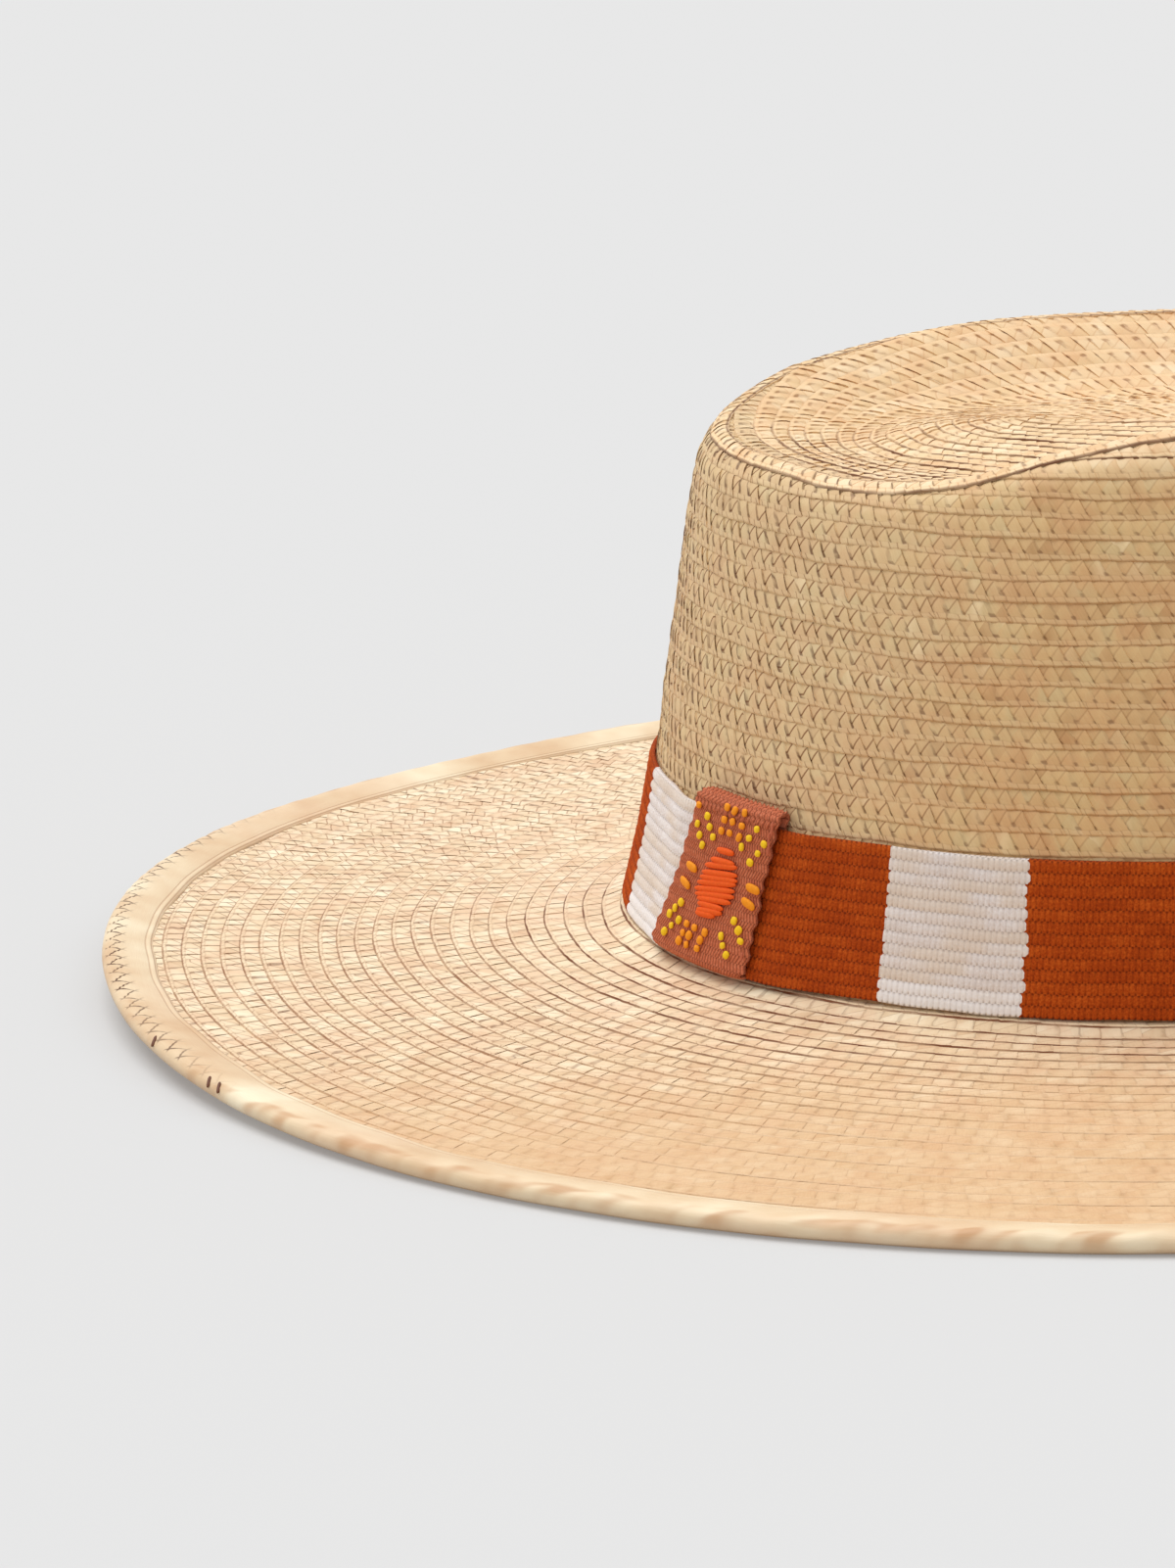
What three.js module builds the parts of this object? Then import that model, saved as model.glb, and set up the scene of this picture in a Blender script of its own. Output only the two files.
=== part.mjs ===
// A wide-brimmed palm leaf hat with a telescope crown, a woven band and a folded band keeper.
// Millimetres, +Z up. X runs along the head from the back (-X) to the front (+X).
// z = 0 is the surface that the brim lies on, and X = Y = 0 is under the middle of the crown.

import * as THREE from 'three';

// Driving dimensions
const crownHalfLength = 102.8; // outside of the straw at the crown's foot
const crownHalfWidth = 86;
const crownHeight = 94; // from the crown's foot to the middle of its ridge
const strawWall = 2; // sewn braid of the crown
const brimHalfLength = 196;
const brimHalfWidth = 179;
const brimWall = 1.2;
const brimRise = 5.6; // how far the brim climbs from its edge to the crown
const tipLift = 5.5; // how far the brim's two ends lift off the surface
const footLift = 0.8; // how far the crown's foot rises at its two ends
const edgeWidth = 9; // leaf roll bound round the brim's edge
const edgeLip = 0.8;
const edgeNose = 2; // thickness of the roll outside the brim
const bandWidth = 25.4;
const bandWall = 1.3;
const bandClearance = 1.5; // from the crown's foot to the band's lower edge
const keeperWidth = 24.2;
const keeperWall = 1;
const keeperAngle = 216.3; // degrees round the crown, from the front
const keeperLean = 6.5; // how far its top stands round the crown from its foot
const keeperSlack = 1.5; // room over the band inside the keeper
const keeperEase = 12; // the band's slope beside the keeper, back to the crown
const dishDepth = 12.8; // from the middle of the ridge down to the dish's groove
const dishDome = 2.6; // rise of the dish's floor inside the groove
const pieceGap = 0.3;

// Mesh fineness
const stepsRound = 64;
const keeperSteps = 9;

// Heights that follow from them
const edgeHalf = brimWall / 2 + pieceGap + edgeLip;
const brimMid = edgeHalf + brimRise; // middle of the brim's wall at the crown
const footHeight = brimMid + brimWall / 2 + pieceGap;
const grooveHeight = footHeight + crownHeight - dishDepth;
const bandTop = bandClearance + bandWidth; // over the crown's foot

// Ridge height round the crown, as a share of crownHeight. The near rear quarter is pressed in.
const ridgeHeights = [
  { angle: 0, height: 1.004 },
  { angle: 30, height: 1.004 },
  { angle: 60, height: 0.988 },
  { angle: 90, height: 0.973 },
  { angle: 120, height: 0.975 },
  { angle: 150, height: 0.942 },
  { angle: 165, height: 0.913 },
  { angle: 180, height: 0.896 },
  { angle: 195, height: 0.891 },
  { angle: 210, height: 0.890 },
  { angle: 225, height: 0.880 },
  { angle: 240, height: 0.897 },
  { angle: 255, height: 0.957 },
  { angle: 270, height: 1.000 },
  { angle: 300, height: 1.012 },
  { angle: 330, height: 1.010 },
];

// Crown from its foot to its ridge: height is a share of the ridge height at that angle, and
// long and cross are shares of crownHalfLength and crownHalfWidth. steps divide the span below.
const wallSections = [
  { height: 0.000, long: 1.000, cross: 1.000, steps: 0 },
  { height: 0.021, long: 0.996, cross: 0.997, steps: 1 },
  { height: 0.160, long: 0.965, cross: 0.978, steps: 1 },
  { height: 0.318, long: 0.938, cross: 0.958, steps: 1 },
  { height: 0.465, long: 0.920, cross: 0.923, steps: 1 },
  { height: 0.630, long: 0.896, cross: 0.876, steps: 1 },
  { height: 0.794, long: 0.873, cross: 0.824, steps: 1 },
  { height: 0.915, long: 0.853, cross: 0.776, steps: 1 },
  { height: 0.972, long: 0.834, cross: 0.744, steps: 1 },
  { height: 1.000, long: 0.803, cross: 0.702, steps: 2 },
];

// Dish inside the ridge: drop is a share of the way down from the ridge to the groove, and
// dome is a share of dishDome.
const dishSections = [
  { drop: 0.10, dome: 0, long: 0.768, cross: 0.656, steps: 2 },
  { drop: 0.45, dome: 0, long: 0.706, cross: 0.590, steps: 1 },
  { drop: 0.82, dome: 0, long: 0.640, cross: 0.516, steps: 1 },
  { drop: 1.00, dome: 0, long: 0.560, cross: 0.430, steps: 2 },
  { drop: 1.00, dome: 0.72, long: 0.430, cross: 0.240, steps: 2 },
  { drop: 1.00, dome: 1, long: 0.285, cross: 0.040, steps: 1 },
];

// Brim from the crown to its edge: out is a share of the brim's width, drop of brimRise.
const brimSections = [
  { out: 0, drop: 0 },
  { out: 0.08, drop: 0.11 },
  { out: 0.28, drop: 0.38 },
  { out: 0.55, drop: 0.70 },
  { out: 0.80, drop: 0.92 },
  { out: 0.94, drop: 1 },
  { out: 1, drop: 1 },
];

// Helpers
const radians = (degrees) => (degrees * Math.PI) / 180;

// Lift towards the hat's two ends, above its sides, for a share out across the brim.
function endLift(angle, out) {
  return (footLift + (tipLift - footLift) * out ** 2) * Math.cos(radians(angle)) ** 6;
}

// Smooth curve through rows of one table, read at a place in one column.
function cubic(p0, p1, p2, p3, t) {
  const slopeStart = (p2 - p0) / 2;
  const slopeEnd = (p3 - p1) / 2;
  const a = 2 * p1 - 2 * p2 + slopeStart + slopeEnd;
  const b = 3 * p2 - 3 * p1 - 2 * slopeStart - slopeEnd;
  return ((a * t + b) * t + slopeStart) * t + p1;
}

function ridgeShare(angle) {
  const count = ridgeHeights.length;
  const turned = ((angle % 360) + 360) % 360;
  let row = count - 1;
  while (ridgeHeights[row].angle > turned) row -= 1;
  const at = (index) => ridgeHeights[(index + count) % count];
  const start = at(row).angle;
  const end = row === count - 1 ? 360 : at(row + 1).angle;
  const heights = [at(row - 1), at(row), at(row + 1), at(row + 2)].map((entry) => entry.height);
  return cubic(...heights, (turned - start) / (end - start));
}

const ridgeHeight = (angle) => crownHeight * ridgeShare(angle);

// Every section of the crown in one list, each with its height above the foot at an angle.
const crownSections = [
  ...wallSections.map((row) => ({ ...row, rise: (angle) => row.height * ridgeHeight(angle) })),
  ...dishSections.map((row) => ({
    ...row,
    rise: (angle) => {
      const ridge = ridgeHeight(angle);
      const groove = grooveHeight - footHeight;
      return ridge + (groove - ridge) * row.drop + dishDome * row.dome;
    },
  })),
];

// Point on the crown's outside: place counts sections from the foot.
function crownPoint(angle, place) {
  const last = crownSections.length - 1;
  const base = Math.min(Math.floor(place), last - 1);
  const pick = (index) => crownSections[Math.max(0, Math.min(last, index))];
  const rows = [pick(base - 1), pick(base), pick(base + 1), pick(base + 2)];
  const blend = (value) => cubic(...rows.map(value), place - base);
  const turn = radians(angle);
  return new THREE.Vector3(
    crownHalfLength * blend((row) => row.long) * Math.cos(turn),
    crownHalfWidth * blend((row) => row.cross) * Math.sin(turn),
    footHeight + endLift(angle, 0) + blend((row) => row.rise(angle)),
  );
}

function crownNormal(angle, place) {
  const turnStep = 0.5;
  const placeStep = 0.02;
  const last = crownSections.length - 1;
  const low = Math.max(0, place - placeStep);
  const high = Math.min(last, place + placeStep);
  const round = crownPoint(angle + turnStep, place).sub(crownPoint(angle - turnStep, place));
  const along = crownPoint(angle, high).sub(crownPoint(angle, low));
  return round.cross(along).normalize();
}

// Shares of the half-lengths on the crown's wall at a height above its foot.
function wallShares(angle, height) {
  const share = height / ridgeHeight(angle);
  let row = 0;
  while (row < wallSections.length - 2 && wallSections[row + 1].height < share) row += 1;
  const start = wallSections[row];
  const end = wallSections[row + 1];
  const t = (share - start.height) / (end.height - start.height);
  return {
    long: start.long + (end.long - start.long) * t,
    cross: start.cross + (end.cross - start.cross) * t,
  };
}

// Point outside the crown's wall, at a height over its foot and a distance off the straw.
function offWall(angle, height, distance) {
  const share = wallShares(angle, height);
  const z = footHeight + endLift(angle, 0) + height;
  const long = crownHalfLength * share.long;
  const cross = crownHalfWidth * share.cross;
  const turn = radians(angle);
  const normal = new THREE.Vector3(Math.cos(turn) / long, Math.sin(turn) / cross, 0).normalize();
  const place = new THREE.Vector3(long * Math.cos(turn), cross * Math.sin(turn), z);
  return place.addScaledVector(normal, distance);
}

// Millimetres round the crown for one degree of angle.
function millimetresPerDegree(angle) {
  const turn = radians(angle);
  return radians(Math.hypot(crownHalfLength * Math.sin(turn), crownHalfWidth * Math.cos(turn)));
}

// How far the band stands off the straw, to leave room for the keeper's back layer.
function bandStandOff(angle) {
  const away = Math.abs(angle - keeperAngle) * millimetresPerDegree(keeperAngle);
  const flat = (keeperWidth + keeperLean) / 2 + pieceGap;
  const ease = 1 - THREE.MathUtils.smoothstep(away, flat, flat + keeperEase);
  return pieceGap + (keeperWall + pieceGap) * ease;
}

// Point on the middle of the brim's wall: out runs from 0 at the crown to 1 at the edge.
function brimPoint(angle, out, above) {
  let row = 0;
  while (row < brimSections.length - 2 && brimSections[row + 1].out < out) row += 1;
  const start = brimSections[row];
  const end = brimSections[row + 1];
  const drop = start.drop + ((end.drop - start.drop) * (out - start.out)) / (end.out - start.out);
  const turn = radians(angle);
  const innerLong = crownHalfLength - strawWall;
  const innerCross = crownHalfWidth - strawWall;
  return new THREE.Vector3(
    (innerLong + (brimHalfLength - innerLong) * out) * Math.cos(turn),
    (innerCross + (brimHalfWidth - innerCross) * out) * Math.sin(turn),
    brimMid - brimRise * drop + endLift(angle, out) + above,
  );
}

// Closed body from rings of points. Each ring has as many points as the next.
// A loop of rings closes on its first ring, and a point list in ends caps an open row of rings.
function bodyFromRings(rings, { loopRings, caps = [] }) {
  const positions = [];
  const indices = [];
  const count = rings[0].length;
  rings.flat().forEach((point) => positions.push(point.x, point.y, point.z));
  const spans = loopRings ? rings.length : rings.length - 1;
  for (let ring = 0; ring < spans; ring += 1) {
    const next = (ring + 1) % rings.length;
    for (let i = 0; i < count; i += 1) {
      const j = (i + 1) % count;
      const corners = [ring * count + i, ring * count + j, next * count + j, next * count + i];
      indices.push(corners[0], corners[1], corners[2], corners[0], corners[2], corners[3]);
    }
  }
  caps.forEach(({ ring, centre, flip }) => {
    const middle = positions.length / 3;
    positions.push(centre.x, centre.y, centre.z);
    for (let i = 0; i < count; i += 1) {
      const pair = [ring * count + i, ring * count + ((i + 1) % count)];
      if (flip) pair.reverse();
      indices.push(middle, pair[0], pair[1]);
    }
  });
  const geometry = new THREE.BufferGeometry();
  geometry.setAttribute('position', new THREE.Float32BufferAttribute(positions, 3));
  geometry.setIndex(indices);
  geometry.computeVertexNormals();
  return geometry;
}

const anglesRound = Array.from({ length: stepsRound }, (_, i) => (360 * i) / stepsRound);

// Crown: outside from foot to centre, then inside from centre back to the foot.
function makeCrown() {
  const places = [0];
  crownSections.forEach((row, index) => {
    for (let step = 1; step <= row.steps; step += 1) places.push(index - 1 + step / row.steps);
  });
  const outside = places.map((place) => anglesRound.map((angle) => crownPoint(angle, place)));
  const inside = places.map((place) => anglesRound.map((angle) => {
    const point = crownPoint(angle, place).addScaledVector(crownNormal(angle, place), -strawWall);
    if (place === 0) point.z = footHeight + endLift(angle, 0);
    return point;
  }));
  const top = outside[outside.length - 1][0].z;
  const rings = [...inside.reverse(), ...outside];
  return bodyFromRings(rings, {
    loopRings: false,
    caps: [
      { ring: 0, centre: new THREE.Vector3(0, 0, top - strawWall), flip: true },
      { ring: rings.length - 1, centre: new THREE.Vector3(0, 0, top), flip: false },
    ],
  });
}

// Brim: a sloping sheet from under the crown's foot into the groove of the leaf roll.
function makeBrim() {
  const width = brimHalfLength - crownHalfLength + strawWall;
  const last = 1 - (edgeNose + pieceGap) / width;
  const outs = brimSections.map((row) => Math.min(row.out, last));
  const sheet = (above) => outs.map((out) => anglesRound.map((a) => brimPoint(a, out, above)));
  const rings = [...sheet(brimWall / 2).reverse(), ...sheet(-brimWall / 2)];
  return bodyFromRings(rings, { loopRings: true });
}

// Leaf roll: a channel folded over the brim's edge, with a round nose.
function makeBrimEdge() {
  const width = brimHalfLength - crownHalfLength + strawWall;
  const groove = brimWall / 2 + pieceGap;
  const section = [
    { back: edgeNose, above: groove },
    { back: edgeNose, above: -groove },
    { back: edgeWidth, above: -groove },
    { back: edgeWidth, above: -groove - edgeLip * 0.7 },
    { back: edgeWidth * 0.6, above: -edgeHalf },
    { back: edgeWidth * 0.24, above: -edgeHalf },
    { back: edgeWidth * 0.06, above: -edgeHalf * 0.6 },
    { back: 0, above: 0 },
    { back: edgeWidth * 0.05, above: edgeHalf * 0.55 },
    { back: edgeWidth * 0.2, above: edgeHalf * 0.93 },
    { back: edgeWidth * 0.6, above: edgeHalf },
    { back: edgeWidth, above: groove + edgeLip * 0.7 },
    { back: edgeWidth, above: groove },
  ];
  const rings = section.map((row) => (
    anglesRound.map((angle) => brimPoint(angle, 1 - row.back / width, row.above))
  ));
  return bodyFromRings(rings, { loopRings: true });
}

// Hatband: one woven loop, a little off the straw where the keeper passes behind it.
function makeHatband() {
  const levels = [0, 0.5, 1].map((share) => bandClearance + bandWidth * share);
  const face = (depth) => levels.map((height) => (
    anglesRound.map((angle) => offWall(angle, height, bandStandOff(angle) + depth))
  ));
  const rings = [...face(0).reverse(), ...face(bandWall)];
  return bodyFromRings(rings, { loopRings: true });
}

// Band keeper: a cloth sleeve round the band, leaning, open at both ends.
function makeBandKeeper() {
  const inner = { foot: bandClearance - pieceGap, top: bandTop + pieceGap + keeperSlack };
  const outer = { foot: inner.foot - keeperWall, top: inner.top + keeperWall };
  const middle = (bandClearance + bandTop) / 2;
  const perDegree = millimetresPerDegree(keeperAngle);
  const backLayer = pieceGap + keeperWall;
  const frontLayer = keeperWall + bandWall + 3 * pieceGap;
  const loopAt = (angle, limits, back, front) => {
    const corners = [
      [back, middle], [back, limits.top],
      [front, limits.top], [front, middle],
      [front, limits.foot], [back, limits.foot],
    ];
    return corners.map(([distance, height]) => {
      const lean = (keeperLean * (height - middle)) / (outer.top - outer.foot) / perDegree;
      return offWall(angle + lean, height, distance);
    });
  };
  const outsideLoops = [];
  const insideLoops = [];
  for (let step = 0; step <= keeperSteps; step += 1) {
    const angle = keeperAngle + (keeperWidth * (step / keeperSteps - 0.5)) / perDegree;
    outsideLoops.push(loopAt(angle, outer, pieceGap, frontLayer + keeperWall));
    insideLoops.push(loopAt(angle, inner, backLayer, frontLayer));
  }
  return bodyFromRings([...insideLoops.reverse(), ...outsideLoops], { loopRings: true });
}

// The hat
const finishes = {
  palmLeaf: { color: 0xd9bd8f, roughness: 0.62, metalness: 0 },
  brimLeaf: { color: 0xe6cda0, roughness: 0.6, metalness: 0 },
  leafRoll: { color: 0xead7b2, roughness: 0.5, metalness: 0 },
  wovenBand: { color: 0xa8431a, roughness: 0.9, metalness: 0 },
  keeperCloth: { color: 0xa55a40, roughness: 0.92, metalness: 0 },
};

const pieces = [
  { name: 'crown', geometry: makeCrown(), finish: finishes.palmLeaf },
  { name: 'brim', geometry: makeBrim(), finish: finishes.brimLeaf },
  { name: 'brim_edge', geometry: makeBrimEdge(), finish: finishes.leafRoll },
  { name: 'hatband', geometry: makeHatband(), finish: finishes.wovenBand },
  { name: 'band_keeper', geometry: makeBandKeeper(), finish: finishes.keeperCloth },
];

const group = new THREE.Group();
pieces.forEach(({ name, geometry, finish }) => {
  const mesh = new THREE.Mesh(geometry, new THREE.MeshStandardMaterial(finish));
  mesh.name = name;
  group.add(mesh);
});

export default group;
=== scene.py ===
import math
import bmesh
import bpy
import numpy as np
from mathutils import Matrix, Vector


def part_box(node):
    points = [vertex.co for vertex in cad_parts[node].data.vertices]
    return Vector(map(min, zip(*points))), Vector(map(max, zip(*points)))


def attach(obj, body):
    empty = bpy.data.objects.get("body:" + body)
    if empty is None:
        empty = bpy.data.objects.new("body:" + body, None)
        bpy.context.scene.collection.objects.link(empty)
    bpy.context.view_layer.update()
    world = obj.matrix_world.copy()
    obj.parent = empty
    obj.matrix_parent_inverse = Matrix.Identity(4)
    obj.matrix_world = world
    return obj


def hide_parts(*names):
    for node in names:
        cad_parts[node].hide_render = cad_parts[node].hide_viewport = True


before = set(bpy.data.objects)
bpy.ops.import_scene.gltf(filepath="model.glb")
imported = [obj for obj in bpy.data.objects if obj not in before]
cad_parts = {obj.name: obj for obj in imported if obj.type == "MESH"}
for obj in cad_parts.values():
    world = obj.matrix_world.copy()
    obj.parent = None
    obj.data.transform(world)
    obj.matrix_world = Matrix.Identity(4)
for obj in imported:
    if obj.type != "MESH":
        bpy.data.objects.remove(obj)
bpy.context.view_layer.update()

# A palm leaf hat: braid rows sewn edge over edge, a rolled leaf edge, a striped band and its keeper.
# Lengths are millimetres in the dictionaries and metres in Blender. +X is the front, -X the back.

metres = 0.001


def millimetres(node):
    low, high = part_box(node)
    return low / metres, high / metres


crownLow, crownHigh = millimetres("crown")
edgeHigh = millimetres("brim_edge")[1]

# Camera and light

view = {
    "place": (-5.99, -1057.33, 302.85),
    "turn": 5.584,  # degrees to the left of straight ahead
    "tilt": -14.46,
    "roll": -2.763,
    "lens": 141.83,
}

light = {
    "sky": 0.74,
    "sun": 2.05,
    "sunSpread": 50,
    "sunFrom": (-50, 22),  # degrees round from the far side towards the left, and off the vertical
    "floor": (0.45, 0.45, 0.45),
    "floorGlow": 0.2,  # the table is lit from below
    "floorSize": 24000,
}


def addObject(name, data):
    made = bpy.data.objects.new(name, data)
    bpy.context.scene.collection.objects.link(made)
    return made


def addCamera():
    camera = addObject("camera", bpy.data.cameras.new("camera"))
    turn = Matrix.Rotation(math.radians(view["turn"]), 4, "Z")
    tilt = Matrix.Rotation(math.radians(90 + view["tilt"]), 4, "X")
    roll = Matrix.Rotation(math.radians(view["roll"]), 4, "Z")
    place = Matrix.Translation(Vector(view["place"]) * metres)
    camera.matrix_world = place @ turn @ tilt @ roll
    camera.data.sensor_width = 36
    camera.data.lens = view["lens"]
    camera.data.clip_start = 0.05
    camera.data.clip_end = 60
    bpy.context.scene.camera = camera


def addLight():
    world = bpy.data.worlds.new("studio")
    bpy.context.scene.world = world
    world.use_nodes = True
    background = world.node_tree.nodes["Background"]
    background.inputs["Color"].default_value = (1, 1, 1, 1)
    background.inputs["Strength"].default_value = light["sky"]
    sun = addObject("window_light", bpy.data.lights.new("window_light", "SUN"))
    sun.data.energy = light["sun"]
    sun.data.angle = math.radians(light["sunSpread"])
    turn, off = (math.radians(v) for v in light["sunFrom"])
    towards = Vector((math.sin(turn) * math.sin(off), math.cos(turn) * math.sin(off), math.cos(off)))
    sun.rotation_mode = "QUATERNION"
    sun.rotation_quaternion = towards.to_track_quat("Z", "Y")
    scene = bpy.context.scene
    scene.view_settings.view_transform = "Standard"
    scene.view_settings.look = "None"


# Surfaces of the hat, in millimetres

shape = {
    "crownHalfLength": crownHigh.x,
    "crownHalfWidth": crownHigh.y,
    "footHeight": crownLow.z,
    "crownHeight": 94.0,
    "brimHalfLength": edgeHigh.x,
    "brimHalfWidth": edgeHigh.y,
    "strawWall": 2.0,
    "brimMid": 7.3,
    "brimRise": 5.6,
    "tipLift": 5.5,
    "footLift": 0.8,
    "dishDepth": 12.8,
    "dishDome": 2.6,
}

# Ridge height round the crown, as a share of crownHeight
ridgeAngles = (0, 30, 60, 90, 120, 150, 165, 180, 195, 210, 225, 240, 255, 270, 300, 330)
ridgeShares = (
    1.004, 1.004, 0.988, 0.973, 0.975, 0.942, 0.913, 0.896,
    0.891, 0.890, 0.880, 0.897, 0.957, 1.000, 1.012, 1.010,
)

# Crown sections from foot to ridge: height over the foot as a share of the ridge's, length, width
wallSections = (
    (0.000, 1.000, 1.000), (0.021, 0.996, 0.997), (0.160, 0.965, 0.978), (0.318, 0.938, 0.958),
    (0.465, 0.920, 0.923), (0.630, 0.896, 0.876), (0.794, 0.873, 0.824), (0.915, 0.853, 0.776),
    (0.972, 0.834, 0.744), (1.000, 0.803, 0.702),
)

# Dish sections inside the ridge: share of the way down to the groove, share of the dome, length, width
dishSections = (
    (0.10, 0, 0.768, 0.656), (0.45, 0, 0.706, 0.590), (0.82, 0, 0.640, 0.516),
    (1.00, 0, 0.560, 0.430), (1.00, 0.72, 0.430, 0.240), (1.00, 1, 0.285, 0.040), (1, 1, 0.25, 0.0),
)

# Brim from the crown to its edge: share of the brim's width, share of brimRise
brimSections = ((0, 0), (0.08, 0.11), (0.28, 0.38), (0.55, 0.70), (0.80, 0.92), (0.94, 1), (1, 1))


def smoothRead(values, place):
    last = len(values) - 1
    base = np.clip(np.floor(place).astype(int), 0, last - 1)
    t = place - base
    p0, p1 = values[np.maximum(base - 1, 0)], values[base]
    p2, p3 = values[base + 1], values[np.minimum(base + 2, last)]
    start, end = (p2 - p0) / 2, (p3 - p1) / 2
    return (((2 * p1 - 2 * p2 + start + end) * t + 3 * p2 - 3 * p1 - 2 * start - end) * t + start) * t + p1


def ridgeTable():
    around = len(ridgeAngles)
    shares = np.array(ridgeShares[-1:] + ridgeShares + ridgeShares[:3])
    steps = np.linspace(0, around, around * 16 + 1)
    angles = np.interp(steps, np.arange(around + 1), ridgeAngles + (360,))
    return angles, smoothRead(shares, steps + 1) * shape["crownHeight"]


ridgeKeys, ridgeValues = ridgeTable()
groove = shape["crownHeight"] - shape["dishDepth"]
wallUp, wallLong, wallCross = np.array(wallSections).T
dishDown, dishDome, dishLong, dishCross = np.array(dishSections).T
crownColumns = {
    "long": np.concatenate([wallLong, dishLong]),
    "cross": np.concatenate([wallCross, dishCross]),
    "ridgePart": np.concatenate([wallUp, 1 - dishDown]),
    "ownPart": np.concatenate([0 * wallUp, groove * dishDown + shape["dishDome"] * dishDome]),
}
crownLast = len(crownColumns["long"]) - 1


def ridgeHeight(angle):
    return np.interp(np.mod(angle, 360), ridgeKeys, ridgeValues)


def endLift(angle, out):
    lift = shape["footLift"] + (shape["tipLift"] - shape["footLift"]) * out ** 2
    return lift * np.cos(np.radians(angle)) ** 6


def crownPoint(angle, place):
    read = {name: smoothRead(values, place) for name, values in crownColumns.items()}
    turn = np.radians(angle)
    x = shape["crownHalfLength"] * read["long"] * np.cos(turn)
    y = shape["crownHalfWidth"] * read["cross"] * np.sin(turn)
    z = shape["footHeight"] + endLift(angle, 0) + read["ridgePart"] * ridgeHeight(angle) + read["ownPart"]
    return np.stack([x, y, z], -1)


brimSteps = np.linspace(0, len(brimSections) - 1, 121)
brimOuts, brimDrops = (smoothRead(column, brimSteps) for column in np.array(brimSections, float).T)


def brimPoint(angle, out):
    innerLong = shape["crownHalfLength"] - shape["strawWall"]
    innerCross = shape["crownHalfWidth"] - shape["strawWall"]
    turn = np.radians(angle)
    x = (innerLong + (shape["brimHalfLength"] - innerLong) * out) * np.cos(turn)
    y = (innerCross + (shape["brimHalfWidth"] - innerCross) * out) * np.sin(turn)
    drop = np.interp(out, brimOuts, brimDrops)
    z = shape["brimMid"] - shape["brimRise"] * drop + endLift(angle, out)
    return np.stack([x, y, z + 0 * x], -1)


def unit(vectors):
    return vectors / np.maximum(np.linalg.norm(vectors, axis=-1, keepdims=True), 1e-9)


def surfaceNormal(point, angle, place, step, low, high):
    above, below = np.minimum(place + step, high), np.maximum(place - step, low)
    along = point(angle, above) - point(angle, below)
    around = point(angle + 0.4, place) - point(angle - 0.4, place)
    return unit(np.cross(around, along))


def crownNormal(angle, place):
    return surfaceNormal(crownPoint, angle, np.minimum(place, crownLast - 0.3), 0.04, 0, crownLast)


def brimNormal(angle, out):
    return -surfaceNormal(brimPoint, angle, out, 0.004, -0.2, 1.2)


def pathLengths(points):
    return np.concatenate([[0], np.cumsum(np.linalg.norm(np.diff(points, axis=0), axis=1))])


def newWork():
    work = bmesh.new()
    work.loops.layers.uv.new("UVMap")
    return work


def endWork(work, name):
    mesh = bpy.data.meshes.new(name)
    work.to_mesh(mesh)
    work.free()
    return mesh


# Meshes from rings: points[column, step] is one closed ring of loops, with the last of each like the first
def ringMesh(work, points, us, vs):
    columns, steps = points.shape[0] - 1, points.shape[1] - 1
    part = newWork()
    bmesh.ops.create_grid(part, x_segments=columns, y_segments=steps, size=0.5, calc_uvs=True)
    mesh = endWork(part, "part")
    places = np.empty(len(mesh.vertices) * 3)
    mesh.vertices.foreach_get("co", places)
    places = places.reshape(-1, 3)
    column, step = np.rint((places[:, :2] + 0.5) * (columns, steps)).astype(int).T
    mesh.vertices.foreach_set("co", (points[column, step] * metres).ravel())
    layer = mesh.uv_layers["UVMap"].data
    uv = np.empty(len(layer) * 2)
    layer.foreach_get("uv", uv)
    uv = uv.reshape(-1, 2)
    column, step = np.rint(uv * (columns, steps)).astype(int).T
    layer.foreach_set("uv", np.stack([us[column, step], vs[column, step]], -1).ravel())
    work.from_mesh(mesh)
    bpy.data.meshes.remove(mesh)


def finishPiece(name, work, material, nodes, sharp=None):
    bmesh.ops.remove_doubles(work, verts=work.verts, dist=2e-6)
    bmesh.ops.recalc_face_normals(work, faces=work.faces)
    mesh = endWork(work, name)
    mesh.shade_smooth()
    if sharp:
        mesh.set_sharp_from_angle(angle=math.radians(sharp))
    mesh.materials.append(material)
    piece = addObject(name, mesh)
    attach(piece, "root")
    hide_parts(*nodes)
    mesh.calc_loop_triangles()
    print(f"{name}: {len(mesh.loop_triangles)} triangles")


# Straw braid

crownBraid = {
    "rowPitch": 3.45,
    "rows": 45,
    "levelRows": 28,  # rows that lie level on the wall, before they even out over the top
    "foldAt": 9.15,  # section of the crown where the ridge is folded, and how far the fold reaches
    "foldReach": 0.55,
    "foldWidth": 0.85,
    "foldLift": 0.15,
    "lift": 0.0,
    "leafWidth": 2.75,
    "slant": 0.8,  # how far a slit leans over one row, in leaves
    "slitDrop": 0.25,
    "cuts": ((0.03, -1.0), (0.5, 0.35), (0.97, 1.0)),
    "waver": 0.09,
    "rowLift": 0.07,
    # across one row from its lip: place in the row, lift off the surface, share of the slits' relief
    "section": (
        (-0.05, -0.24, 0.0), (-0.01, 0.02, 0.25), (0.10, 0.09, 0.5), (0.26, 0.06, 0.8),
        (0.48, 0.09, 1.0), (0.74, 0.04, 1.0), (1.10, -0.16, 0.4), (1.10, -0.75, 0.0), (0.10, -0.32, 0.0),
    ),
    "calm": (0.0, -95, 50),
}

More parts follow.
